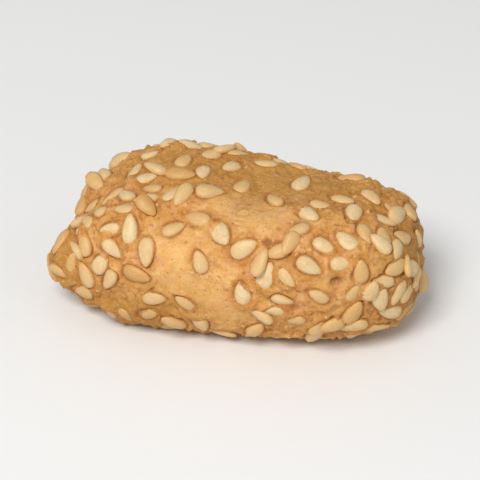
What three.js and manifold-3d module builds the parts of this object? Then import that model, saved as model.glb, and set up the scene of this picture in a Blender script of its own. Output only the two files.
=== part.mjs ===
// A sesame cookie: one small log of dough, rolled in sesame seeds and baked on a tray.
//
// The whole cookie is one solid. Its body is a rounded block, about twice as long as it is
// deep, with a flat resting face underneath, a pinched corner at its left end, a shallow trough
// along its top and a soft ridge above its front face. Sesame seeds lie half sunk in the dough all
// over it, close together at the ends and the back, with bare patches in front and on the ridge.
// Where the coat is close, some seeds lean on others.
//
// The frame is in millimetres: X along the cookie, Y from front to back, Z up. The origin is in
// the middle of the resting face.

import * as THREE from "three";
import { ConvexGeometry } from "three/addons/geometries/ConvexGeometry.js";
import { mergeVertices } from "three/addons/utils/BufferGeometryUtils.js";
import Module from "manifold-3d";

// ---- Driving dimensions of the dough, in millimetres ----

const LENGTH = 40.4;
const WIDTH = 21.2;
const HEIGHT = 17.4; // before it settled on the tray
const SETTLED = 0.8; // how much of that height the flat resting face takes off
const HALF = new THREE.Vector3(LENGTH / 2, WIDTH / 2, HEIGHT / 2);
const MIDDLE = new THREE.Vector3(1, 0, HEIGHT / 2 - SETTLED); // to the right, as a corner reaches left
const SQUARENESS = 3; // 2 would be an ellipsoid, and a large number a box
const END_SKEW = 0.08; // how far the cut ends slant in plan, for each millimetre of depth
const RIGHT_SWELL = 0.02; // how much taller the right end is than the middle, as a share
const CENTRING = [-0.24, -0.08, 0]; // what brings the middle of the finished cookie over the origin

// What handling and baking did to the plain block: a mound where height is over 0, and else a dent.
const MOUNDS = [
  { name: "pinched left corner", at: [-19.6, -4.6, 6.8], radius: 2.1, height: 2.5 },
  { name: "notch above the corner", at: [-18, -3.2, 12.5], radius: 3, height: -1.6 },
  { name: "trough along the top", at: [4, 2, 17], radius: 5.5, height: -1 },
  { name: "back ridge", at: [-6, 7.5, 15], radius: 5, height: 1 },
  { name: "front ridge", at: [9, -8.5, 15.5], radius: 5, height: 0.7 },
  { name: "belly of the front face", at: [-2, -11, 9], radius: 6, height: 0.4 },
  { name: "foot at the front left", at: [-14.5, -9, 1.5], radius: 3.5, height: 0.5 },
  { name: "tuck under the front middle", at: [1, -10, 0], radius: 5, height: -0.6 },
  { name: "tuck under the front right", at: [12, -10, 0], radius: 5, height: -1.6 },
  { name: "dent at the back", at: [7, 12, 8], radius: 4.5, height: -0.8 },
  { name: "dent in the right end", at: [22, 3, 10], radius: 4, height: -0.6 },
];

// Two sets of shallow waves keep any stretch of the surface from being smooth.
const WAVES = [
  { height: 0.3, along: [0.42, 0, 0], across: [0, 0.5, 0.3], shift: [0.4, 0.4] },
  { height: 0.18, along: [0.95, -0.7, 0], across: [0.55, 0, 0.8], shift: [0.1, 1.4] },
];

const DOUGH_STEP = 2.6; // the length of a facet's edge

// ---- Driving dimensions of the seeds, in millimetres ----

const SEED_LENGTH = 3.2;
const SEED_WIDTH = 1.92;
const SEED_THICKNESS = 1.0;
const SEED_SIZE_SPREAD = 0.14; // as a share, either way
const SEED_SINK = 0.16; // how far the rim of a seed lies under the dough's surface
const SEED_SINK_SPREAD = 0.12;
const SEED_TILT = 0.2; // the most that a seed leans out of the surface, in radians
const SEED_RIM_POINTS = 7;
const SEED_BACK_POINTS = 4;
const SEED_BACK_SHARE = 0.55; // the size of a seed's flat back, as a share of its rim
const SEED_TIP_TAPER = 0.28; // how much narrower a seed is towards its tip

// The room that a seed takes: a disc in its middle and a smaller one towards each end.
const MIDDLE_ROOM_RADIUS = 0.5 * SEED_WIDTH;
const TIP_ROOM_RADIUS = 0.36 * SEED_WIDTH;
const ROOT_ROOM_RADIUS = 0.4 * SEED_WIDTH;
const ROOM_DISTANCE = 0.26 * SEED_LENGTH;

const RESTING_SEEDS_BELOW = 0.3; // seeds whose middle is lower than this lie in the resting face
const TRAY_GAP = 0.1; // no other seed reaches lower than this

const SEED_COUNT = 210;
const SEED_TRIES = 4000; // more than it takes to place them all
const RANDOM_START = 709;

// A seed that leans on another: how far apart their middles are, and how it comes to lie.
const LEANING_COUNT = 28;
const LEANING_TRIES = 4000;
const LEANING_START = 31;
const LEAN_NEAREST = 1.2;
const LEAN_FARTHEST = 1.7;
const LEAN_NEXT = 1.9; // the least distance to the middle of any other seed
const LEAN_APART = 3; // the least distance between two leaning seeds
const LEAN_ANGLE = 0.36; // in radians
const LEAN_RISE = 0.44; // how much higher than the others its middle lies
const LEAN_SPACING = 1; // where the coat's spacing is over this, none leans
const LEAN_ABOVE = 2; // and none leans as low as this

// Near each of these points a seed needs this many times its usual room. The coat is thick where
// spacing is under 1, and thin where the dough swelled after it was rolled and tore its coat apart.
const COAT_PATCHES = [
  { name: "right end", at: [17, -2, 10], radius: 8, spacing: 0.82 },
  { name: "left end", at: [-16, 0, 10], radius: 7, spacing: 0.85 },
  { name: "back edge", at: [-3, 8.5, 14], radius: 8, spacing: 0.85 },
  { name: "belly of the front face", at: [-3.8, -10.9, 11], radius: 3.6, spacing: 2.6 },
  { name: "foot of the front face", at: [-0.4, -10.6, 6.3], radius: 2.4, spacing: 2.2 },
  { name: "left of the front ridge", at: [0.6, -4.8, 16.1], radius: 3, spacing: 2.6 },
  { name: "right of the front ridge", at: [5.2, -4.5, 16.1], radius: 3, spacing: 2.6 },
  { name: "trough along the top", at: [3.5, 3.4, 15.8], radius: 2.4, spacing: 2 },
  { name: "left shoulder", at: [-14.1, -8.6, 11.5], radius: 1.8, spacing: 2 },
  { name: "right of the front face", at: [13, -9.8, 10.3], radius: 1.8, spacing: 1.8 },
  { name: "middle of the back face", at: [7, 11, 8], radius: 4, spacing: 2.4 },
  { name: "tip of the pinched corner", at: [-21, -5, 7], radius: 1.8, spacing: 1.8 },
];

// ---- The dough ----

// The dough's surface in a direction from its middle, as a point.
function doughPoint(direction) {
  const u = direction.clone().normalize();
  const reach =
    (Math.abs(u.x) ** SQUARENESS + Math.abs(u.y) ** SQUARENESS + Math.abs(u.z) ** SQUARENESS) **
    (-1 / SQUARENESS);
  const p = u.clone().multiplyScalar(reach).multiply(HALF);
  p.z *= 1 + (RIGHT_SWELL * p.x) / HALF.x;
  p.x += END_SKEW * p.y;
  p.add(MIDDLE);

  const outward = u.clone().divide(HALF).normalize();
  const start = p.clone();
  for (const { at, radius, height } of MOUNDS) {
    const away = start.distanceToSquared(new THREE.Vector3(...at));
    p.addScaledVector(outward, height * Math.exp(-away / (2 * radius * radius)));
  }
  const mounded = p.clone();
  for (const { height, along, across, shift } of WAVES) {
    const first = Math.sin(mounded.dot(new THREE.Vector3(...along)) + shift[0]);
    const second = Math.sin(mounded.dot(new THREE.Vector3(...across)) + shift[1]);
    p.addScaledVector(outward, height * first * second);
  }
  p.z = Math.max(p.z, 0);
  return p;
}

// The point in a direction, with the way out of the dough there.
function doughSurface(direction) {
  const NUDGE = 0.01;
  const u = direction.clone().normalize();
  const side = new THREE.Vector3(0, 0, 1).cross(u).normalize();
  const other = u.clone().cross(side);
  const a = doughPoint(u.clone().addScaledVector(side, NUDGE));
  const b = doughPoint(u.clone().addScaledVector(side, -NUDGE));
  const c = doughPoint(u.clone().addScaledVector(other, NUDGE));
  const d = doughPoint(u.clone().addScaledVector(other, -NUDGE));
  const normal = a.sub(b).cross(c.sub(d)).normalize();
  return { point: doughPoint(u), normal };
}

function doughGeometry() {
  const steps = [LENGTH, WIDTH, HEIGHT].map((size) => Math.round(size / DOUGH_STEP));
  const geometry = new THREE.BoxGeometry(2, 2, 2, ...steps);
  const position = geometry.getAttribute("position");
  for (let i = 0; i < position.count; i++) {
    const p = doughPoint(new THREE.Vector3().fromBufferAttribute(position, i));
    position.setXYZ(i, p.x, p.y, p.z);
  }
  return geometry;
}

// ---- The seeds ----

// A random number generator that always gives the same numbers, from 0 to 1.
function randomFrom(start) {
  let state = start;
  return () => {
    state = (state + 0x6d2b79f5) | 0;
    let t = Math.imul(state ^ (state >>> 15), 1 | state);
    t = (t + Math.imul(t ^ (t >>> 7), 61 | t)) ^ t;
    return ((t ^ (t >>> 14)) >>> 0) / 4294967296;
  };
}

function spacingAt(point) {
  let spacing = 1;
  for (const { at, radius, spacing: inPatch } of COAT_PATCHES) {
    const away = point.distanceToSquared(new THREE.Vector3(...at)) / (radius * radius);
    spacing *= 1 + (inPatch - 1) * Math.exp(-(away ** 2));
  }
  return spacing;
}

function roomOf(point, lengthwise, size) {
  const towards = (distance) => point.clone().addScaledVector(lengthwise, distance * size);
  return [
    { centre: point, radius: MIDDLE_ROOM_RADIUS * size },
    { centre: towards(ROOM_DISTANCE), radius: TIP_ROOM_RADIUS * size },
    { centre: towards(-ROOM_DISTANCE), radius: ROOT_ROOM_RADIUS * size },
  ];
}

function clash(room, otherRoom, spacing) {
  return room.some((a) =>
    otherRoom.some((b) => a.centre.distanceTo(b.centre) < spacing * (a.radius + b.radius)),
  );
}

function thrownSeed(random) {
  const height = 2 * random() - 1;
  const around = 2 * Math.PI * random();
  const turn = 2 * Math.PI * random();
  const size = 1 + SEED_SIZE_SPREAD * (2 * random() - 1);
  const sink = SEED_SINK + SEED_SINK_SPREAD * (2 * random() - 1);
  const pitch = SEED_TILT * (2 * random() - 1);
  const roll = SEED_TILT * (2 * random() - 1);

  const level = Math.sqrt(1 - height * height);
  const { point, normal } = doughSurface(
    new THREE.Vector3(level * Math.cos(around), level * Math.sin(around), height),
  );
  const east = new THREE.Vector3(1, 0, 0).addScaledVector(normal, -normal.x).normalize();
  const north = normal.clone().cross(east);
  const lengthwise = east.multiplyScalar(Math.cos(turn)).addScaledVector(north, Math.sin(turn));
  return { point, normal, lengthwise, size, sink, pitch, roll };
}

// Seeds are thrown at the dough one after another, and stick where there is room for them.
function lyingSeeds() {
  const random = randomFrom(RANDOM_START);
  const seeds = [];
  for (let i = 0; i < SEED_TRIES && seeds.length < SEED_COUNT; i++) {
    const seed = thrownSeed(random);
    const room = roomOf(seed.point, seed.lengthwise, seed.size);
    const spacing = spacingAt(seed.point);
    if (seeds.some((other) => clash(room, other.room, spacing))) continue;
    seeds.push({ ...seed, room });
  }
  return seeds;
}

// More are thrown at the finished coat. Where one lands beside a single seed, it comes to lean on it.
function leaningSeeds(lying) {
  const random = randomFrom(LEANING_START);
  const seeds = [];
  for (let i = 0; i < LEANING_TRIES && seeds.length < LEANING_COUNT; i++) {
    const seed = thrownSeed(random);
    const { point, normal, lengthwise } = seed;
    const nearby = lying
      .map((other) => ({ other, away: other.point.distanceTo(point) }))
      .sort((a, b) => a.away - b.away);
    const [nearest, next] = nearby;
    if (nearest.away < LEAN_NEAREST || nearest.away > LEAN_FARTHEST || next.away < LEAN_NEXT) continue;
    if (point.z < LEAN_ABOVE || spacingAt(point) > LEAN_SPACING) continue;
    if (seeds.some((other) => other.point.distanceTo(point) < LEAN_APART)) continue;

    const towards = nearest.other.point.clone().sub(point);
    towards.addScaledVector(normal, -towards.dot(normal)).normalize();
    normal.multiplyScalar(Math.cos(LEAN_ANGLE)).addScaledVector(towards, -Math.sin(LEAN_ANGLE));
    lengthwise.addScaledVector(normal, -lengthwise.dot(normal)).normalize();
    seeds.push({ ...seed, sink: seed.sink - LEAN_RISE });
  }
  return seeds;
}

// One seed of full size: a teardrop rim, a smaller flat back above it and one point below.
function seedGeometry() {
  const outline = (count, share, height) =>
    Array.from({ length: count }, (_, i) => {
      const angle = (2 * Math.PI * i) / count;
      const narrowed = 1 - SEED_TIP_TAPER * Math.cos(angle);
      return new THREE.Vector3(
        (share * SEED_LENGTH * Math.cos(angle)) / 2,
        (share * SEED_WIDTH * Math.sin(angle) * narrowed) / 2,
        height,
      );
    });
  return new ConvexGeometry([
    ...outline(SEED_RIM_POINTS, 1, 0),
    ...outline(SEED_BACK_POINTS, SEED_BACK_SHARE, SEED_THICKNESS / 2),
    new THREE.Vector3(0, 0, -SEED_THICKNESS / 2),
  ]);
}

// Where a seed lies: in the dough, leaning a little, and never lower than the tray.
function seedPlace({ point, normal, lengthwise, size, sink, pitch, roll }) {
  const crosswise = normal.clone().cross(lengthwise);
  const place = new THREE.Matrix4()
    .makeBasis(lengthwise, crosswise, normal)
    .setPosition(point.clone().addScaledVector(normal, -sink))
    .multiply(new THREE.Matrix4().makeRotationFromEuler(new THREE.Euler(roll, pitch, 0)))
    .scale(new THREE.Vector3(size, size, size));
  return place;
}

// ---- The cookie ----

const wasm = await Module();
wasm.setup();

function solidOf(geometry) {
  const bare = geometry.clone();
  bare.deleteAttribute("normal");
  bare.deleteAttribute("uv");
  const merged = mergeVertices(bare);
  return new wasm.Manifold(
    new wasm.Mesh({
      numProp: 3,
      vertProperties: merged.getAttribute("position").array,
      triVerts: new Uint32Array(merged.index.array),
    }),
  );
}

function geometryOf(solid) {
  const mesh = solid.getMesh();
  const geometry = new THREE.BufferGeometry();
  geometry.setAttribute("position", new THREE.BufferAttribute(mesh.vertProperties, 3));
  geometry.setIndex(new THREE.BufferAttribute(mesh.triVerts, 1));
  geometry.computeVertexNormals();
  return geometry;
}

function cookieGeometry() {
  let cookie = solidOf(doughGeometry());
  const lying = lyingSeeds();
  for (const seed of [...lying, ...leaningSeeds(lying)]) {
    if (seed.point.z < RESTING_SEEDS_BELOW) continue; // these are pressed flush into the resting face
    const geometry = seedGeometry().applyMatrix4(seedPlace(seed));
    geometry.computeBoundingBox();
    geometry.translate(0, 0, Math.max(0, TRAY_GAP - geometry.boundingBox.min.z));
    cookie = cookie.add(solidOf(geometry));
  }
  return geometryOf(cookie.translate(CENTRING));
}

const cookie = new THREE.Mesh(
  cookieGeometry(),
  new THREE.MeshStandardMaterial({ color: 0xd89d5c, roughness: 0.85, metalness: 0 }),
);
cookie.name = "sesame_cookie";

const part = new THREE.Group();
part.add(cookie);

export default part;
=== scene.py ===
# A sesame cookie on a pale table.
#
# The cookie is one small log of dough, shaped by hand, rolled in sesame seeds and baked on a tray.
# Its form and the places of its seeds follow the same rules as the solid that it stands for, so
# the two lie in one place. Sizes are in millimetres up to where a mesh is made, in metres.

import math

import bpy
import numpy as np
from mathutils import Matrix, Vector, noise


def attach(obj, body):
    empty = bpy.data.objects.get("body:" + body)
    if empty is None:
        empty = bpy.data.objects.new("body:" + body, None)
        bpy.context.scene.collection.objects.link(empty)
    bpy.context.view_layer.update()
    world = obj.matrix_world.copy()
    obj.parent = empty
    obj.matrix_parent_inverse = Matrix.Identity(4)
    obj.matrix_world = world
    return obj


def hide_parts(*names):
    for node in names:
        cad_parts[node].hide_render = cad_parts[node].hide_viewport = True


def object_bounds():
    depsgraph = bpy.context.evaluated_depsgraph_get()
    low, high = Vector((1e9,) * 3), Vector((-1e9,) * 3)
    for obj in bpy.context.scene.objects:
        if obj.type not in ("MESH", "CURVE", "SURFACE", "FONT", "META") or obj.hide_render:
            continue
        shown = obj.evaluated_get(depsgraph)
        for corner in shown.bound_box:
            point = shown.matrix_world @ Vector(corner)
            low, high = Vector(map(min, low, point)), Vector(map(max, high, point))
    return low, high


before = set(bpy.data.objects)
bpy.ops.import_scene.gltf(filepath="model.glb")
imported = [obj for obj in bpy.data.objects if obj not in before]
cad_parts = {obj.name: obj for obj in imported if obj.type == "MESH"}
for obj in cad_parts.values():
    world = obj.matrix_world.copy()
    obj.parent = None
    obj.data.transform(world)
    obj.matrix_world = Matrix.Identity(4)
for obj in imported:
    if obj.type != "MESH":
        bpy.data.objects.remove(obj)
solid_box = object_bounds()


# ---- The camera ----
# It looks down on the cookie at a little over a third of a right angle, from a little to the right
# of its front, through a long lens, and the cookie fills most of the picture's width.

VIEW_TURN = math.radians(14)
VIEW_HEIGHT = math.radians(34)
VIEW_DISTANCE = 0.35
VIEW_WIDTH = 0.055  # what the picture takes in at the cookie's middle, from side to side

camera = bpy.data.objects.new("camera", bpy.data.cameras.new("camera"))
bpy.context.scene.collection.objects.link(camera)
bpy.context.scene.camera = camera
cookie_middle = (Vector(solid_box[0]) + Vector(solid_box[1])) / 2
towards_camera = Vector(
    (
        math.sin(VIEW_TURN) * math.cos(VIEW_HEIGHT),
        -math.cos(VIEW_TURN) * math.cos(VIEW_HEIGHT),
        math.sin(VIEW_HEIGHT),
    )
)
camera.location = cookie_middle + VIEW_DISTANCE * towards_camera
camera.rotation_euler = towards_camera.to_track_quat("Z", "Y").to_euler()
camera.data.lens = camera.data.sensor_width * VIEW_DISTANCE / VIEW_WIDTH
camera.data.clip_start = 0.01


# ---- The log of dough ----
# A short roll of stiff, crumbly dough, pressed into a rounded block. It settled flat on the tray,
# kept a pinched corner at its left end, and swelled in the oven into a soft ridge over its front.

MM = 0.001
LENGTH = 40.4
WIDTH = 21.2
HEIGHT = 17.4  # before it settled on the tray
SETTLED = 0.8
SQUARENESS = 3
END_SKEW = 0.08
RIGHT_SWELL = 0.02
BLOCK_HALF = np.array([LENGTH, WIDTH, HEIGHT]) / 2
BLOCK_MIDDLE = np.array([1, 0, HEIGHT / 2 - SETTLED])
CENTRING = np.array([-0.24, -0.08, 0])  # what brings the middle of the finished cookie over the origin

# Place, radius and height of each mound, or of a dent where the height is under 0.
MOUNDS = {
    "pinched left corner": ([-19.6, -4.6, 6.8], 2.1, 2.5),
    "notch above the corner": ([-18, -3.2, 12.5], 3, -1.6),
    "trough along the top": ([4, 2, 17], 5.5, -1),
    "back ridge": ([-6, 7.5, 15], 5, 1),
    "front ridge": ([9, -8.5, 15.5], 5, 0.7),
    "belly of the front face": ([-2, -11, 9], 6, 0.4),
    "foot at the front left": ([-14.5, -9, 1.5], 3.5, 0.5),
    "tuck under the front middle": ([1, -10, 0], 5, -0.6),
    "tuck under the front right": ([12, -10, 0], 5, -1.6),
    "dent at the back": ([7, 12, 8], 4.5, -0.8),
    "dent in the right end": ([22, 3, 10], 4, -0.6),
}
# Height of each set of waves, the two ways that it runs, and how far it is shifted each way.
WAVES = (
    (0.3, [0.42, 0, 0], [0, 0.5, 0.3], [0.4, 0.4]),
    (0.18, [0.95, -0.7, 0], [0.55, 0, 0.8], [0.1, 1.4]),
)


def unit(vectors):
    return vectors / np.linalg.norm(vectors, axis=-1, keepdims=True)


def dough_points(directions):
    """The dough's surface in each direction from its middle, as points."""
    u = unit(directions)
    reach = (np.abs(u) ** SQUARENESS).sum(-1, keepdims=True) ** (-1 / SQUARENESS)
    start = u * reach * BLOCK_HALF
    start[:, 2] *= 1 + RIGHT_SWELL * start[:, 0] / BLOCK_HALF[0]
    start[:, 0] += END_SKEW * start[:, 1]
    start += BLOCK_MIDDLE
    outward = unit(u / BLOCK_HALF)
    points = start.copy()
    for at, radius, height in MOUNDS.values():
        away = ((start - at) ** 2).sum(-1, keepdims=True)
        points += outward * height * np.exp(-away / (2 * radius**2))
    mounded = points.copy()
    for height, along, across, shift in WAVES:
        first = np.sin(mounded @ along + shift[0])
        second = np.sin(mounded @ across + shift[1])
        points += outward * (height * first * second)[:, None]
    points[:, 2] = np.maximum(points[:, 2], 0)
    return points


def dough_surface(directions):
    """Those points, and the way out of the dough at each."""
    nudge = 0.01
    off_pole = [1e-12, 0, 0]  # so that a direction straight up or down has a side too
    u = unit(directions)
    side = unit(np.cross([0, 0, 1], u) + off_pole)
    other = np.cross(u, side)
    one_way = dough_points(u + nudge * side) - dough_points(u - nudge * side)
    other_way = dough_points(u + nudge * other) - dough_points(u - nudge * other)
    return dough_points(u), unit(np.cross(one_way, other_way))


# ---- The coat of seeds ----
# The log is rolled in hulled sesame. The seeds are thrown at it one after another, and stick where
# there is room. The coat is close at the ends and the back, where some lean on others, and it is torn
# open where the dough swelled.

SEED_LENGTH = 3.2
SEED_WIDTH = 1.92
SEED_THICKNESS = 1.0
SEED_SIZE_SPREAD = 0.14
SEED_SINK = 0.16
SEED_SINK_SPREAD = 0.12
SEED_TILT = 0.2
SEED_TIP_TAPER = 0.28
TRAY_GAP = 0.1
SEED_COUNT = 210
SEED_TRIES = 4000
DRAWS_A_SEED = 7
RANDOM_START = 709
LEANING_COUNT = 28
LEANING_START = 31
LEAN_NEAREST = 1.2  # between the middles of a leaning seed and the one that it leans on
LEAN_FARTHEST = 1.7
LEAN_NEXT = 1.9  # the least distance to the middle of any other seed
LEAN_APART = 3
LEAN_ANGLE = 0.36
LEAN_RISE = 0.44
LEAN_SPACING = 1
LEAN_ABOVE = 2
ROOM_RADII = np.array([0.5, 0.36, 0.4]) * SEED_WIDTH  # in the middle, by the tip and by the root
ROOM_PLACES = np.array([0, 0.26, -0.26]) * SEED_LENGTH

# Place and radius of each patch, and how many times its usual room a seed needs there.
COAT_PATCHES = {
    "right end": ([17, -2, 10], 8, 0.82),
    "left end": ([-16, 0, 10], 7, 0.85),
    "back edge": ([-3, 8.5, 14], 8, 0.85),
    "belly of the front face": ([-3.8, -10.9, 11], 3.6, 2.6),
    "foot of the front face": ([-0.4, -10.6, 6.3], 2.4, 2.2),
    "left of the front ridge": ([0.6, -4.8, 16.1], 3, 2.6),
    "right of the front ridge": ([5.2, -4.5, 16.1], 3, 2.6),
    "trough along the top": ([3.5, 3.4, 15.8], 2.4, 2),
    "left shoulder": ([-14.1, -8.6, 11.5], 1.8, 2),
    "right of the front face": ([13, -9.8, 10.3], 1.8, 1.8),
    "middle of the back face": ([7, 11, 8], 4, 2.4),
    "tip of the pinched corner": ([-21, -5, 7], 1.8, 1.8),
}


def random_draws(start, count):
    """Numbers from 0 to 1 that are always the same, by 32-bit integer steps."""
    whole = 0xFFFFFFFF
    state = start
    draws = np.empty(count)
    for i in range(count):
        state = (state + 0x6D2B79F5) & whole
        t = ((state ^ (state >> 15)) * (1 | state)) & whole
        t ^= (t + (((t ^ (t >> 7)) * (61 | t)) & whole)) & whole
        draws[i] = (t ^ (t >> 14)) / 2**32
    return draws


def spacing_at(points):
    spacing = np.ones(len(points))
    for at, radius, in_patch in COAT_PATCHES.values():
        away = ((points - at) ** 2).sum(-1) / radius**2
        spacing *= 1 + (in_patch - 1) * np.exp(-(away**2))
    return spacing


def thrown_seeds(start):
    """Where each seed lands on the dough, how it would lie there, and its own random number."""
    draws = random_draws(start, DRAWS_A_SEED * SEED_TRIES).reshape(SEED_TRIES, DRAWS_A_SEED)
    height = 2 * draws[:, 0] - 1
    around = 2 * math.pi * draws[:, 1]
    turn = 2 * math.pi * draws[:, 2, None]
    level = np.sqrt(1 - height**2)
    thrown = np.stack([level * np.cos(around), level * np.sin(around), height], axis=1)
    points, normals = dough_surface(thrown)
    east = unit([1, 0, 0] - normals * normals[:, :1])
    return {
        "point": points,
        "normal": normals,
        "lengthwise": east * np.cos(turn) + np.cross(normals, east) * np.sin(turn),
        "size": 1 + SEED_SIZE_SPREAD * (2 * draws[:, 3] - 1),
        "sink": SEED_SINK + SEED_SINK_SPREAD * (2 * draws[:, 4] - 1),
        "pitch": SEED_TILT * (2 * draws[:, 5] - 1),
        "roll": SEED_TILT * (2 * draws[:, 6] - 1),
        "luck": draws[:, 3:].sum(-1) % 1,
    }


def picked(seeds, kept):
    return {fact: values[kept] for fact, values in seeds.items()}


def lying_seeds():
    """The seeds that found room on the bare dough."""
    seeds = thrown_seeds(RANDOM_START)
    size = seeds["size"][:, None]
    centres = seeds["point"][:, None] + seeds["lengthwise"][:, None] * (ROOM_PLACES * size)[..., None]
    radii = ROOM_RADII * size
    spacing = spacing_at(seeds["point"])
    kept = []
    for i in range(SEED_TRIES):
        if kept:
            gaps = np.linalg.norm(centres[i, :, None, None] - centres[kept], axis=-1)
            if (gaps < spacing[i] * (radii[i, :, None, None] + radii[kept])).any():
                continue
        kept.append(i)
        if len(kept) == SEED_COUNT:
            break
    return picked(seeds, kept)


def along(vectors, axes):
    """The part of each vector that runs along its axis."""
    return axes * (vectors * axes).sum(-1, keepdims=True)


def leaning_seeds(lying):
    """The seeds that landed beside a single other one, turned so that they lean on it."""
    seeds = thrown_seeds(LEANING_START)
    points = seeds["point"]
    away = np.linalg.norm(points[:, None] - lying["point"], axis=-1)
    first, second = np.sort(away, axis=1)[:, :2].T
    fits = (first >= LEAN_NEAREST) & (first <= LEAN_FARTHEST) & (second >= LEAN_NEXT)
    fits &= (points[:, 2] >= LEAN_ABOVE) & (spacing_at(points) <= LEAN_SPACING)
    kept = []
    for i in np.flatnonzero(fits):
        gaps = np.linalg.norm(points[kept] - points[i], axis=1)
        if len(kept) < LEANING_COUNT and (gaps >= LEAN_APART).all():
            kept.append(i)
    leaned_on = lying["point"][away[kept].argmin(1)]
    seeds = picked(seeds, kept)
    normal = seeds["normal"]
    towards = leaned_on - seeds["point"]
    towards = unit(towards - along(towards, normal))
    normal = normal * math.cos(LEAN_ANGLE) - towards * math.sin(LEAN_ANGLE)
    seeds["lengthwise"] = unit(seeds["lengthwise"] - along(seeds["lengthwise"], normal))
    seeds["normal"] = normal
    seeds["sink"] -= LEAN_RISE
    return seeds


def coat_of_seeds():
    """Every seed's middle, its three axes, its size, and its own random number."""
    lying = lying_seeds()
    leaning = leaning_seeds(lying)
    coat = {fact: np.concatenate([lying[fact], leaning[fact]]) for fact in lying}
    crosswise = np.cross(coat["normal"], coat["lengthwise"])
    frames = np.stack([coat["lengthwise"], crosswise, coat["normal"]], axis=-1)
    tilts = [
        np.array([[1, 0, 0], [0, math.cos(r), -math.sin(r)], [0, math.sin(r), math.cos(r)]])
        @ np.array([[math.cos(p), 0, math.sin(p)], [0, 1, 0], [-math.sin(p), 0, math.cos(p)]])
        for r, p in zip(coat["roll"], coat["pitch"])
    ]
    middles = coat["point"] - coat["sink"][:, None] * coat["normal"]
    return middles, frames @ np.array(tilts), coat["size"], coat["luck"]


seed_middles, seed_axes, seed_sizes, seed_luck = coat_of_seeds()


# ---- The baked dough ----
# A sandy, crumbly dough. It rose round each seed, so that a fine crease runs along the seed's edge,
# and over the ends of some. The crust between them is lumpy, pitted and split, and browned unevenly.
# Its colour also holds painted light and shade: lighter on raised places, darker in creases, hollows, by
# the seeds, and at the back and right end.

DOUGH_STEP = 0.202  # between neighbouring points of the mesh
EDGE_CREASE = 0.26  # depth of the crease along a seed's edge
EDGE_CREASE_WIDTH = 0.17
CREASE_SHARE = 0.65  # of that depth, on the average
CREASE_SPREAD = 0.8
CREASE_LEAST = 0.25
CREASE_PATCH = 1.3  # width of the stretches where a crease is deeper or shallower
BETWEEN_SEEDS = 0.75  # how far from a seed painted shade darkens the dough
LIP = 0.12  # how high the dough stands round the crease
LIP_DISTANCE = 0.45
LIP_WIDTH = 0.24
COVERED_SHARE = 0.18  # of the seeds, those whose wide end the dough covers
COVER_HEIGHT = 0.36
COVER_PLACE = -0.95  # along the seed, from -1 at its root to 1 at its tip
COVER_LENGTH = 0.5
COVER_BREADTH = 0.75 * SEED_WIDTH
COLLAR_SHARE = 0.25  # of the seeds, those that the dough rose all round
COLLAR_DRAW = 13  # stirs a seed's own random number into another
COLLAR_HEIGHT = 0.2
COLLAR_WIDTH = 0.4
COLLAR_FILLING = 0.7  # how much of the crease it fills
LUMP = 2.4  # width of the crust's lumps
LUMP_HEIGHT = 0.36
NUB = 0.95
NUB_HEIGHT = 0.17
CRUMB = 0.62  # width of the crumbs that stand out of the crust
CRUMB_HEIGHT = 0.17
WRINKLE = 2.3  # width of the loops that the crust's wrinkles run in
WRINKLE_DEPTH = 0.16
WRINKLE_SHARPNESS = 0.09
WRINKLE_PATCH = 3.3  # width of the wrinkled stretches
CRUST_CLEAR = 0.25  # how far from a seed the crust has its full relief
FRESH_REACH = 1.5  # how far the dough swelled late, in radii of its patch of the coat
FRESH_SMOOTHNESS = 0.75
PIT_COUNT = 420
PIT_RADIUS = (0.16, 0.36)
PIT_DEPTH = (0.1, 0.3)
CRACK_COUNT = 22
CRACK_STEPS = 8
CRACK_STEP = 0.36
CRACK_BEND = 0.7
CRACK_DEPTH = 0.3
CRACK_WIDTH = 0.15
BASE_HOLLOW = 0.09  # how far the base's crust hangs back from the tray, between its seeds
BASE_CLEAR = 0.03  # how far all of it does, as the seeds in it touch the tray first
BASE_SLOPE = (0.8, 0.98)  # how squarely the dough faces down, from its sides to its base
SHAPING_START = 5

# Where the dough is browned, partly as painted shade: the places, along X, Y or Z, between which it sets
# in.
BASE_BROWN = (1.6, 0.1)
FOOT_BROWN = (9.5, 4)
LEFT_FOOT_BROWN = (0, -8)
CORNER_BROWN = (-15, -19.5)
CORNER_BROWNING = 0.95
BACK_BROWN_AND_SHADE_HEIGHT = (12.5, 16)
BACK_BROWN_AND_SHADE_DEPTH = (-6, 0.5)
RIGHT_END_BROWN_AND_SHADE = (15, 20)
UPPER_BROWNING_AND_SHADE = 0.8  # how dark the back and the right end are, by browning and painted shade
BROWN_PATCH = 5  # width of the browner and paler patches
BROWN_PATCHES = 0.45  # how much browner or paler they are

# Where steam or a lost seed left a hole: its place, its radius and its depth.
HOLES = {
    "steam hole on the ridge": ([-0.7, -6.9, 15.7], 0.34, 0.7),
    "left of the ridge's middle seeds": ([5.6, -8.9, 15.2], 0.5, 0.6),
    "right of them": ([7.3, -9.5, 14.2], 0.4, 0.45),
    "crevice low on the right": ([13.6, -9.4, 11.5], 0.6, 0.7),
    "print of a lost seed": ([8.8, -10.7, 8.4], 0.9, 0.35),
}


def block_skin(steps):
    """A cube's skin, from -1 to 1, cut into steps along X, Y and Z: its points and its quads."""
    quads = []
    for axis in range(3):
        across, up = (axis + 1) % 3, (axis + 2) % 3
        i, j = np.meshgrid(np.arange(steps[across]), np.arange(steps[up]), indexing="ij")
        for side in (0, steps[axis]):
            corners = np.full((i.size, 4, 3), side)
            for n, (right, top) in enumerate(((0, 0), (1, 0), (1, 1), (0, 1))):
                corners[:, n, across] = (i + right).ravel()
                corners[:, n, up] = (j + top).ravel()
            quads.append(corners if side else corners[:, ::-1])
    points, corner_of = np.unique(np.concatenate(quads).reshape(-1, 3), axis=0, return_inverse=True)
    return 2 * points / steps - 1, corner_of.reshape(-1, 4)


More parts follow.
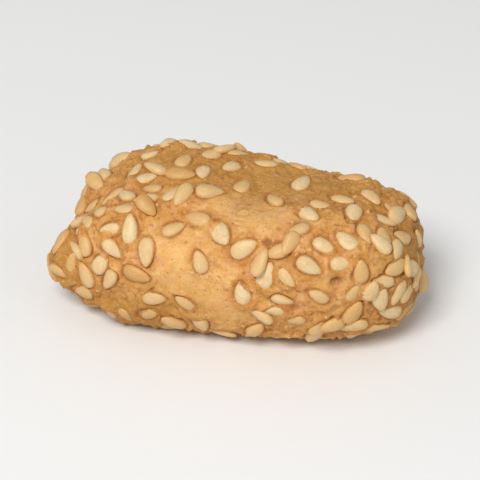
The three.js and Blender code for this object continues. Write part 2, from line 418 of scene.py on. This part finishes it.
def noise_field(points, size, octaves=1, shift=0.0):
    """Smooth noise about 0, at the points, with features of this size."""
    places = points / size + [shift, 2 * shift, 3 * shift]
    return np.array([noise.fractal(place, 1.0, 2.0, octaves) for place in places.tolist()])


def bump(distance, width):
    return np.exp(-((distance / width) ** 2))


def rise(values, low, high):
    """From 0 at low to 1 at high, with no corner at either."""
    share = np.clip((values - low) / (high - low), 0, 1)
    return share * share * (3 - 2 * share)


def coat_relief(points):
    """How the seeds in it lift and crease the dough: its height, its creases, and the gap to a seed."""
    gap = np.full(len(points), SEED_LENGTH)
    cover = np.zeros(len(points))
    collar = np.zeros(len(points))
    not_nothing = 1e-6  # so that no gap is divided by 0
    for middle, axes, size, luck in zip(seed_middles[:SEED_COUNT], seed_axes, seed_sizes, seed_luck):
        near = np.linalg.norm(points - middle, axis=1) < SEED_LENGTH
        endwise, across, _ = ((points[near] - middle) @ axes / size).T
        lengthwise = endwise / (SEED_LENGTH / 2)
        half_width = SEED_WIDTH / 2 * (1 - SEED_TIP_TAPER * np.clip(lengthwise, -1, 1))
        share = np.hypot(lengthwise, across / half_width) + not_nothing
        own_gap = np.hypot(endwise, across) * (1 - 1 / share) * size
        gap[near] = np.minimum(gap[near], own_gap)
        if COLLAR_DRAW * luck % 1 < COLLAR_SHARE:
            collar[near] = np.maximum(collar[near], bump(own_gap, COLLAR_WIDTH))
        if luck < COVERED_SHARE:
            root = bump(lengthwise - COVER_PLACE, COVER_LENGTH) * bump(across, COVER_BREADTH)
            cover[near] = np.maximum(cover[near], root)
    uneven = CREASE_SHARE + CREASE_SPREAD * noise_field(points, CREASE_PATCH, shift=31)
    crease = bump(gap, EDGE_CREASE_WIDTH) * (1 - cover) * (1 - COLLAR_FILLING * collar)
    crease = crease * np.clip(uneven, CREASE_LEAST, 1)
    height = LIP * bump(gap - LIP_DISTANCE, LIP_WIDTH) + COVER_HEIGHT * cover + COLLAR_HEIGHT * collar
    return height - EDGE_CREASE * crease, crease, gap


def scattered_pits(points, chance):
    """Small round holes that steam left: how deep the dough is hollowed at each point."""
    depth = np.zeros(len(points))
    for _ in range(PIT_COUNT):
        at = points[chance.integers(len(points))]
        radius = chance.uniform(*PIT_RADIUS)
        away = np.linalg.norm(points - at, axis=1)
        near = away < 2 * radius
        depth[near] = np.maximum(depth[near], chance.uniform(*PIT_DEPTH) * bump(away[near], radius))
    for at, radius, deepest in HOLES.values():
        away = np.linalg.norm(points - at, axis=1)
        depth = np.maximum(depth, deepest * bump(away, radius))
    return depth


def scattered_cracks(points, normals, chance):
    """Short ragged cracks, each a walk over the surface: 1 at their deepest."""
    depth = np.zeros(len(points))
    for _ in range(CRACK_COUNT):
        start = chance.integers(len(points))
        at, normal = points[start], normals[start]
        heading = unit(np.cross(normal, chance.normal(size=3)))
        for step in range(CRACK_STEPS):
            fade = math.sin(math.pi * (step + 1) / (CRACK_STEPS + 1))
            away = np.linalg.norm(points - at, axis=1)
            depth = np.maximum(depth, fade * bump(away, CRACK_WIDTH))
            heading = unit(heading + CRACK_BEND * np.cross(normal, heading) * chance.normal())
            nearest = np.argmin(np.linalg.norm(points - (at + CRACK_STEP * heading), axis=1))
            at, normal = points[nearest], normals[nearest]
            heading = unit(heading - normal * (heading @ normal))
    return depth


def fresh_field(points):
    """1 where the dough swelled late and stayed pale, and 0 where its first skin browned."""
    fresh = np.zeros(len(points))
    for at, radius, in_patch in COAT_PATCHES.values():
        if in_patch > 1:
            away = ((points - at) ** 2).sum(-1) / (FRESH_REACH * radius) ** 2
            fresh = np.maximum(fresh, min(1, in_patch - 1) * np.exp(-(away**2)))
    return fresh


def toast_field(points, upper=UPPER_BROWNING_AND_SHADE):
    """How brown the dough is: most on the base, the foot and the corner, and less above, on the back and
    the right end, where it is painted shade as well as browning.
    """
    x, y, z = points.T
    base = rise(z, *BASE_BROWN)
    foot = (1 + rise(x, *LEFT_FOOT_BROWN)) / 2 * rise(z, *FOOT_BROWN)
    corner = CORNER_BROWNING * rise(x, *CORNER_BROWN)
    back = upper * rise(z, *BACK_BROWN_AND_SHADE_HEIGHT) * rise(y, *BACK_BROWN_AND_SHADE_DEPTH)
    right_end = upper * rise(x, *RIGHT_END_BROWN_AND_SHADE)
    patches = BROWN_PATCHES * noise_field(points, BROWN_PATCH, 2, shift=13)
    return np.clip(np.maximum.reduce([base, foot, corner, back, right_end]) + patches, 0, 1)


def shaped_dough():
    """The dough's points and quads, and what its material needs to know at each point."""
    steps = np.round(2 * BLOCK_HALF / DOUGH_STEP).astype(int)
    directions, quads = block_skin(steps)
    points, normals = dough_surface(directions)
    chance = np.random.default_rng(SHAPING_START)
    seeds_height, crease, gap = coat_relief(points)
    fresh = fresh_field(points)
    loops = noise_field(points, WRINKLE, 2, shift=17)
    wrinkled = rise(noise_field(points, WRINKLE_PATCH, shift=7), -0.1, 0.35)
    wrinkles = bump(loops, WRINKLE_SHARPNESS) * wrinkled
    pits = scattered_pits(points, chance)
    cracks = scattered_cracks(points, normals, chance)
    lumps = noise_field(points, LUMP, 2, shift=3)
    nubs = noise_field(points, NUB, 2, shift=9)
    crumbs = rise(noise_field(points, CRUMB, shift=51), 0.12, 0.45)
    clear = np.clip(gap / CRUST_CLEAR, 0, 1)
    crust = LUMP_HEIGHT * lumps + NUB_HEIGHT * nubs + CRUMB_HEIGHT * crumbs - WRINKLE_DEPTH * wrinkles
    height = seeds_height + clear * crust * (1 - FRESH_SMOOTHNESS * fresh)
    height = height - pits * clear - CRACK_DEPTH * cracks
    on_base = rise(-normals[:, 2], *BASE_SLOPE)
    height -= BASE_HOLLOW * on_base * (1 + nubs)
    points = points + normals * height[:, None]
    points[:, 2] = np.maximum(points[:, 2], BASE_CLEAR)
    # Where shade is painted: in the wrinkles, pits and cracks.
    hollow = np.clip(np.maximum.reduce([0.6 * wrinkles, pits / PIT_DEPTH[1], cracks]), 0, 1)
    facts = {"crease": crease, "hollow": hollow, "fresh": fresh, "toast": toast_field(points)}
    facts["relief"] = 0.5 + 0.6 * lumps + 0.5 * nubs
    # Where shade is painted close to the seeds, in patches.
    facts["between"] = bump(gap, BETWEEN_SEEDS) * rise(noise_field(points, 2, 2, shift=41), -0.5, 0.4)
    return points, quads, facts


def mesh_of(name, points, faces, facts):
    mesh = bpy.data.meshes.new(name)
    mesh.from_pydata(points.tolist(), [], faces.tolist())
    mesh.shade_smooth()
    for key, values in facts.items():
        mesh.attributes.new(key, "FLOAT", "POINT").data.foreach_set("value", values)
    mesh.update()
    return mesh


dough_points_mm, dough_quads, dough_facts = shaped_dough()
dough_mesh = mesh_of("dough", (dough_points_mm + CENTRING) * MM, dough_quads, dough_facts)
dough = bpy.data.objects.new("dough", dough_mesh)
bpy.context.scene.collection.objects.link(dough)


def add_node(tree, kind, inputs=None, **settings):
    """A new node. An input is a value, or another node's socket to link to it."""
    made = tree.nodes.new(kind)
    for name, value in settings.items():
        setattr(made, name, value)
    for key, value in (inputs or {}).items():
        if isinstance(value, bpy.types.NodeSocket):
            tree.links.new(value, made.inputs[key])
        else:
            made.inputs[key].default_value = value
    return made


def mix_colours(tree, share, first, second):
    return add_node(tree, "ShaderNodeMix", {0: share, 6: first, 7: second}, data_type="RGBA").outputs[2]


def grain(tree, place, size, detail=2.0, roughness=0.5):
    """Noise of this feature size, in millimetres, from 0 to 1."""
    values = {"Vector": place, "Scale": 1 / (size * MM), "Detail": detail, "Roughness": roughness}
    return add_node(tree, "ShaderNodeTexNoise", values).outputs["Fac"]


def spread(tree, value, low, high, to_low=0.0, to_high=1.0):
    """The value, with the stretch from low to high drawn out, and clamped at its ends."""
    values = {"Value": value, "From Min": low, "From Max": high, "To Min": to_low, "To Max": to_high}
    return add_node(tree, "ShaderNodeMapRange", values).outputs["Result"]


def worked_out(tree, first, second, operation):
    return add_node(tree, "ShaderNodeMath", {0: first, 1: second}, operation=operation).outputs[0]


def product(tree, first, second):
    return worked_out(tree, first, second, "MULTIPLY")


def fact(tree, name):
    return add_node(tree, "ShaderNodeAttribute", attribute_name=name).outputs["Fac"]


FRESH_DOUGH = (0.79, 0.455, 0.165, 1)
BAKED_DOUGH = (0.66, 0.33, 0.098, 1)
GOLDEN_DOUGH = (0.55, 0.235, 0.038, 1)
ORANGE_DOUGH = (0.77, 0.40, 0.105, 1)
ROSY_DOUGH = (0.70, 0.33, 0.165, 1)
FLOURY_DOUGH = (0.83, 0.52, 0.225, 1)
SEED_SIDE_SHADE = (0.50, 0.185, 0.026, 1)
TOASTED_AND_SHADED_DOUGH = (0.44, 0.205, 0.036, 1)
SCORCH_AND_HOLLOW_SHADE = (0.34, 0.115, 0.024, 1)
CREASE_SHADE_AND_BROWN = (0.30, 0.088, 0.013, 1)
SUGAR_SPECK = (0.86, 0.62, 0.38, 1)


def dough_material():
    material = bpy.data.materials.new("baked dough")
    material.use_nodes = True
    tree = material.node_tree
    shader = tree.nodes["Principled BSDF"]
    place = add_node(tree, "ShaderNodeTexCoord").outputs["Object"]

    fresh = spread(tree, fact(tree, "fresh"), 0.05, 0.95, 0.15, 0.9)
    browned = worked_out(tree, 1.1, fresh, "SUBTRACT")
    colour = mix_colours(tree, fresh, BAKED_DOUGH, FRESH_DOUGH)
    # Lighter on the crust's raised places and darker in its low ones: painted light and shade by height.
    raised = spread(tree, fact(tree, "relief"), 0.45, 0.85, 0, 0.55)
    colour = mix_colours(tree, raised, colour, FRESH_DOUGH)
    sunken = spread(tree, fact(tree, "relief"), 0.5, 0.1, 0, 0.7)
    colour = mix_colours(tree, product(tree, sunken, browned), colour, GOLDEN_DOUGH)
    rosy = spread(tree, grain(tree, place, 2.2, 3), 0.53, 0.64, 0, 0.75)
    colour = mix_colours(tree, rosy, colour, ROSY_DOUGH)
    floury = spread(tree, grain(tree, place, 1.5, 3, 0.6), 0.54, 0.66, 0, 0.6)
    colour = mix_colours(tree, floury, colour, FLOURY_DOUGH)
    mottle = spread(tree, grain(tree, place, 0.9, 4, 0.65), 0.47, 0.62, 0, 0.85)
    colour = mix_colours(tree, mottle, colour, ORANGE_DOUGH)
    colour = mix_colours(tree, product(tree, mottle, browned), colour, GOLDEN_DOUGH)
    # Painted shade on the dough close to the seeds.
    colour = mix_colours(tree, product(tree, fact(tree, "between"), 0.75), colour, SEED_SIDE_SHADE)
    # Browning, and painted shade on the back and the right end.
    toast = spread(tree, fact(tree, "toast"), 0.05, 0.95, 0, 0.85)
    colour = mix_colours(tree, toast, colour, TOASTED_AND_SHADED_DOUGH)
    # Painted shade in the wrinkles, pits and cracks.
    colour = mix_colours(tree, product(tree, fact(tree, "hollow"), 0.75), colour, SCORCH_AND_HOLLOW_SHADE)
    scorched = spread(tree, grain(tree, place, 0.8, 2), 0.38, 0.3, 0, 0.6)
    colour = mix_colours(tree, product(tree, scorched, browned), colour, SCORCH_AND_HOLLOW_SHADE)
    # Painted shade in the crease along each seed's edge, with a browner crust there too.
    colour = mix_colours(tree, product(tree, fact(tree, "crease"), 0.85), colour, CREASE_SHADE_AND_BROWN)
    flour = spread(tree, grain(tree, place, 0.26, 2, 0.6), 0.5, 0.75, 0, 0.45)
    colour = mix_colours(tree, flour, colour, FRESH_DOUGH)
    pale_specks = spread(tree, grain(tree, place, 0.42, 1), 0.69, 0.76, 0, 0.55)
    colour = mix_colours(tree, pale_specks, colour, SUGAR_SPECK)
    brown_specks = spread(tree, grain(tree, place, 0.33, 1), 0.34, 0.26, 0, 0.7)
    colour = mix_colours(tree, brown_specks, colour, SCORCH_AND_HOLLOW_SHADE)
    tree.links.new(colour, shader.inputs["Base Color"])

    crumb = grain(tree, place, 0.2, 3, 0.6)
    grains = {"Vector": place, "Scale": 1 / (0.42 * MM), "Detail": 1.0, "Smoothness": 0.3}
    grains = add_node(tree, "ShaderNodeTexVoronoi", grains, feature="SMOOTH_F1").outputs["Distance"]
    rough = {"Strength": 0.5, "Distance": -0.1 * MM, "Height": grains}
    sandy = {"Strength": 0.5, "Distance": 0.07 * MM, "Height": crumb}
    sandy["Normal"] = add_node(tree, "ShaderNodeBump", rough).outputs[0]
    tree.links.new(add_node(tree, "ShaderNodeBump", sandy).outputs[0], shader.inputs["Normal"])
    tree.links.new(spread(tree, crumb, 0.3, 0.7, 0.75, 0.58), shader.inputs["Roughness"])
    shader.inputs["Specular IOR Level"].default_value = 0.3
    shader.inputs["Subsurface Weight"].default_value = 0.12
    shader.inputs["Subsurface Radius"].default_value = (1.0, 0.45, 0.18)
    shader.inputs["Subsurface Scale"].default_value = 0.6 * MM
    return material


dough.data.materials.append(dough_material())
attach(dough, "root")
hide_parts("sesame_cookie")


# ---- The sesame seeds ----
# Hulled seeds, flat and drop-shaped, creamy to golden. They stick in the dough by one flat side, and
# those of the base were pressed level with it by the tray.

SEED_SEGMENTS = 8
SEED_RINGS = 7
SEED_TIP_POINT = 0.1  # how much more the outline draws in at its very tip
SEED_THINNING = 0.3  # how much thinner the tip is than the root
SEED_FLATNESS = 0.76  # below 1 the flat sides are flatter, and the rim rounder
SEED_DENT = 2.0  # width of a seed's uneven places
SEED_DENT_DEPTH = 0.14
SEED_WIDTH_SPREAD = 0.1
WIDTH_DRAW = 7  # stirs a seed's own random number into another
RESTING_SEEDS_BELOW = 0.3
PRESSED = 0.2  # how much of a resting seed the tray flattened


def seed_tree():
    """Puts a drop-shaped seed on each point, as its turn and scale say."""
    tree = bpy.data.node_groups.new("seeds", "GeometryNodeTree")
    ports = tree.interface
    ports.new_socket("Geometry", in_out="OUTPUT", socket_type="NodeSocketGeometry")
    ports.new_socket("Geometry", in_out="INPUT", socket_type="NodeSocketGeometry")
    outline = ("Half Length", "Half Width", "Half Thickness", "Tip Taper", "Tip Point")
    for name in (*outline, "Thinning", "Flatness", "Dent Scale", "Dent Depth", "Tray Height"):
        ports.new_socket(name, in_out="INPUT", socket_type="NodeSocketFloat")
    ports.new_socket("Material", in_out="INPUT", socket_type="NodeSocketMaterial")
    given = add_node(tree, "NodeGroupInput").outputs

    def stored(name, kind):
        return add_node(tree, "GeometryNodeInputNamedAttribute", {"Name": name}, data_type=kind).outputs[0]

    def moved(geometry, **places):
        return add_node(tree, "GeometryNodeSetPosition", {"Geometry": geometry, **places}).outputs[0]

    ball = {"Segments": SEED_SEGMENTS, "Rings": SEED_RINGS, "Radius": 1.0}
    ball = add_node(tree, "GeometryNodeMeshUVSphere", ball).outputs["Mesh"]
    on_ball = add_node(tree, "GeometryNodeInputPosition").outputs[0]
    kept = {"Geometry": ball, "Name": "on_seed", "Value": on_ball}
    kept = add_node(tree, "GeometryNodeStoreNamedAttribute", kept, data_type="FLOAT_VECTOR", domain="POINT")
    across, up, along = add_node(tree, "ShaderNodeSeparateXYZ", {0: on_ball}).outputs
    tip = worked_out(tree, along, 3.0, "POWER")
    tip = product(tree, given["Tip Point"], tip)
    narrowing = worked_out(tree, 1.0, product(tree, given["Tip Taper"], along), "SUBTRACT")
    narrowing = worked_out(tree, narrowing, tip, "SUBTRACT")
    thinning = worked_out(tree, 1.0, product(tree, given["Thinning"], along), "SUBTRACT")
    height = worked_out(tree, up, 0.0, "ABSOLUTE")
    height = worked_out(tree, height, given["Flatness"], "POWER")
    height = product(tree, height, worked_out(tree, up, 0.0, "SIGN"))
    drop = {
        "X": product(tree, along, given["Half Length"]),
        "Y": product(tree, product(tree, across, given["Half Width"]), narrowing),
        "Z": product(tree, product(tree, height, given["Half Thickness"]), thinning),
    }
    drop = add_node(tree, "ShaderNodeCombineXYZ", drop).outputs[0]
    placed = {
        "Points": given["Geometry"],
        "Instance": moved(kept.outputs[0], Position=drop),
        "Rotation": stored("turn", "QUATERNION"),
        "Scale": stored("scale", "FLOAT_VECTOR"),
    }
    placed = add_node(tree, "GeometryNodeInstanceOnPoints", placed).outputs[0]
    real = add_node(tree, "GeometryNodeRealizeInstances", {"Geometry": placed}).outputs[0]

    place = add_node(tree, "GeometryNodeInputPosition").outputs[0]
    dents = {"Vector": place, "Scale": given["Dent Scale"], "Detail": 1.0}
    dents = add_node(tree, "ShaderNodeTexNoise", dents).outputs["Fac"]
    lift = product(tree, worked_out(tree, dents, 0.5, "SUBTRACT"), given["Dent Depth"])
    outward = add_node(tree, "GeometryNodeInputNormal").outputs[0]
    lifted = {0: outward, "Scale": lift}
    lifted = add_node(tree, "ShaderNodeVectorMath", lifted, operation="SCALE").outputs[0]
    uneven = moved(real, Offset=lifted)
    x, y, z = add_node(tree, "ShaderNodeSeparateXYZ", {0: place}).outputs
    level = {"X": x, "Y": y, "Z": worked_out(tree, z, given["Tray Height"], "MAXIMUM")}
    level = moved(uneven, Position=add_node(tree, "ShaderNodeCombineXYZ", level).outputs[0])
    smooth = add_node(tree, "GeometryNodeSetShadeSmooth", {"Geometry": level}).outputs[0]
    coated = {"Geometry": smooth, "Material": given["Material"]}
    coated = add_node(tree, "GeometryNodeSetMaterial", coated).outputs[0]
    add_node(tree, "NodeGroupOutput", {"Geometry": coated})
    return tree


SEED_PALE = (0.765, 0.60, 0.34, 1)
SEED_WHITE = (0.84, 0.70, 0.46, 1)
SEED_GOLDEN = (0.68, 0.415, 0.155, 1)
SEED_TOASTED = (0.58, 0.28, 0.06, 1)
SEED_RIM_AND_SHADE = (0.70, 0.42, 0.15, 1)
STREAKS_ON_SEED = (7, 7, 1.6)  # how closely they follow each other across, through and along a seed
STREAKS_FROM_PLACE = 900  # for each metre, so that no two seeds have the same ones


def seed_material():
    material = bpy.data.materials.new("sesame seeds")
    material.use_nodes = True
    tree = material.node_tree
    shader = tree.nodes["Principled BSDF"]
    place = add_node(tree, "ShaderNodeTexCoord").outputs["Object"]
    on_seed = add_node(tree, "ShaderNodeAttribute", attribute_name="on_seed").outputs["Vector"]
    _, up, along = add_node(tree, "ShaderNodeSeparateXYZ", {0: on_seed}).outputs
    luck = fact(tree, "luck")

    colour = mix_colours(tree, spread(tree, luck, 0.2, 0.9), SEED_PALE, SEED_GOLDEN)
    colour = mix_colours(tree, spread(tree, luck, 0.94, 0.97, 0, 0.8), colour, SEED_TOASTED)
    patches = spread(tree, grain(tree, place, 1.1, 2), 0.42, 0.68, 0, 0.45)
    colour = mix_colours(tree, patches, colour, SEED_GOLDEN)
    colour = mix_colours(tree, spread(tree, along, 0.7, 1.0, 0, 0.55), colour, SEED_TOASTED)
    # Darker towards the rim: the seed's own edge, and painted shade where it meets the dough.
    rim = spread(tree, worked_out(tree, up, 0.0, "ABSOLUTE"), 0.75, 0.1, 0, 0.6)
    colour = mix_colours(tree, rim, colour, SEED_RIM_AND_SHADE)
    colour = mix_colours(tree, product(tree, fact(tree, "toast"), 0.6), colour, SEED_TOASTED)
    lengthwise = {0: on_seed, 1: STREAKS_ON_SEED}
    lengthwise = add_node(tree, "ShaderNodeVectorMath", lengthwise, operation="MULTIPLY").outputs[0]
    own_place = {0: place, "Scale": STREAKS_FROM_PLACE}
    own_place = add_node(tree, "ShaderNodeVectorMath", own_place, operation="SCALE").outputs[0]
    own_place = add_node(tree, "ShaderNodeVectorMath", {0: lengthwise, 1: own_place}).outputs[0]
    streaks = {"Vector": own_place, "Scale": 1.0, "Detail": 3.0, "Roughness": 0.6}
    streaks = add_node(tree, "ShaderNodeTexNoise", streaks).outputs["Fac"]
    colour = mix_colours(tree, spread(tree, streaks, 0.48, 0.72, 0, 0.75), colour, SEED_GOLDEN)
    colour = mix_colours(tree, spread(tree, streaks, 0.45, 0.3, 0, 0.4), colour, SEED_WHITE)
    tree.links.new(colour, shader.inputs["Base Color"])

    bumps = {"Strength": 0.4, "Distance": 0.03 * MM, "Height": streaks}
    tree.links.new(add_node(tree, "ShaderNodeBump", bumps).outputs[0], shader.inputs["Normal"])
    tree.links.new(spread(tree, streaks, 0.3, 0.7, 0.55, 0.42), shader.inputs["Roughness"])
    shader.inputs["Specular IOR Level"].default_value = 0.4
    shader.inputs["Subsurface Weight"].default_value = 0.2
    shader.inputs["Subsurface Radius"].default_value = (1.0, 0.6, 0.3)
    shader.inputs["Subsurface Scale"].default_value = 0.5 * MM
    return material


def seed_places():
    """An object of bare points, one for each seed, that say how the seed lies there."""
    halves = np.array([SEED_LENGTH, SEED_WIDTH, SEED_THICKNESS]) / 2
    reach_down = np.linalg.norm(seed_axes[:, 2] * halves * seed_sizes[:, None], axis=1)
    lowest = seed_middles[:, 2] - reach_down
    resting = seed_middles[:, 2] < RESTING_SEEDS_BELOW
    lift = np.where(resting, -PRESSED - lowest, np.maximum(0, TRAY_GAP - lowest))
    middles = seed_middles + lift[:, None] * [0, 0, 1]
    width = 1 + SEED_WIDTH_SPREAD * (2 * (WIDTH_DRAW * seed_luck % 1) - 1)
    same = np.ones(len(width))
    scales = seed_sizes[:, None] * np.stack([same, width, same], axis=1)
    toast = np.clip(toast_field(middles, upper=0) + resting, 0, 1)
    points = bpy.data.meshes.new("seed places")
    points.from_pydata(((middles + CENTRING) * MM).tolist(), [], [])
    for name, kind, key, values in (
        ("turn", "QUATERNION", "value", [Matrix(axes.tolist()).to_quaternion() for axes in seed_axes]),
        ("scale", "FLOAT_VECTOR", "vector", scales),
        ("luck", "FLOAT", "value", seed_luck),
        ("toast", "FLOAT", "value", toast),
    ):
        points.attributes.new(name, kind, "POINT").data.foreach_set(key, np.array(values).ravel())
    return bpy.data.objects.new("sesame_seeds", points)


seeds = seed_places()
bpy.context.scene.collection.objects.link(seeds)
maker = seeds.modifiers.new("seeds", "NODES")
maker.node_group = seed_tree()
seed_inputs = {
    "Half Length": SEED_LENGTH / 2 * MM,
    "Half Width": SEED_WIDTH / 2 * MM,
    "Half Thickness": SEED_THICKNESS / 2 * MM,
    "Tip Taper": SEED_TIP_TAPER,
    "Tip Point": SEED_TIP_POINT,
    "Thinning": SEED_THINNING,
    "Flatness": SEED_FLATNESS,
    "Dent Scale": 1 / (SEED_DENT * MM),
    "Dent Depth": SEED_DENT_DEPTH * MM,
    "Tray Height": 0.0,
    "Material": seed_material(),
}
for port in maker.node_group.interface.items_tree:
    if port.name in seed_inputs:
        maker[port.identifier] = seed_inputs[port.name]
evaluated = seeds.evaluated_get(bpy.context.evaluated_depsgraph_get())
seed_mesh = bpy.data.meshes.new_from_object(evaluated)
seeds.modifiers.clear()
seeds.data = seed_mesh
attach(seeds, "root")
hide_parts("sesame_cookie")


# ---- The table and the light ----
# A pale table under the cookie. One broad soft lamp stands near the camera, to its left, a weaker
# one on the right, and the room all round is white.

bpy.context.scene.view_settings.view_transform = "Standard"

TABLE_HALF = 1.5  # metres
TABLE_PALE = (0.88, 0.88, 0.87, 1)
table_corners = [(x * TABLE_HALF, y * TABLE_HALF, 0) for x, y in ((-1, -1), (1, -1), (1, 1), (-1, 1))]
table = bpy.data.meshes.new("table")
table.from_pydata(table_corners, [], [(0, 1, 2, 3)])
table = bpy.data.objects.new("table", table)
bpy.context.scene.collection.objects.link(table)
table_paint = bpy.data.materials.new("pale table")
table_paint.use_nodes = True
table_paint.node_tree.nodes["Principled BSDF"].inputs["Base Color"].default_value = TABLE_PALE
table_paint.node_tree.nodes["Principled BSDF"].inputs["Roughness"].default_value = 0.6
table.data.materials.append(table_paint)


def add_lamp(name, turn, height, distance, size, watts):
    """A square lamp that shines on the cookie, turned from the front and raised, in degrees."""
    light = bpy.data.lights.new(name, "AREA")
    light.energy = watts
    light.size = size
    lamp = bpy.data.objects.new(name, light)
    bpy.context.scene.collection.objects.link(lamp)
    turn, height = math.radians(turn), math.radians(height)
    level = math.cos(height)
    towards = Vector((math.sin(turn) * level, -math.cos(turn) * level, math.sin(height)))
    lamp.location = cookie_middle + distance * towards
    lamp.rotation_euler = towards.to_track_quat("Z", "Y").to_euler()


add_lamp("key", turn=-9, height=51, distance=0.6, size=0.24, watts=2.8)
add_lamp("fill", turn=75, height=30, distance=0.7, size=0.5, watts=0.22)
room = bpy.data.worlds.new("white room")
room.use_nodes = True
room.node_tree.nodes["Background"].inputs["Color"].default_value = (1, 1, 1, 1)
room.node_tree.nodes["Background"].inputs["Strength"].default_value = 0.4
bpy.context.scene.world = room
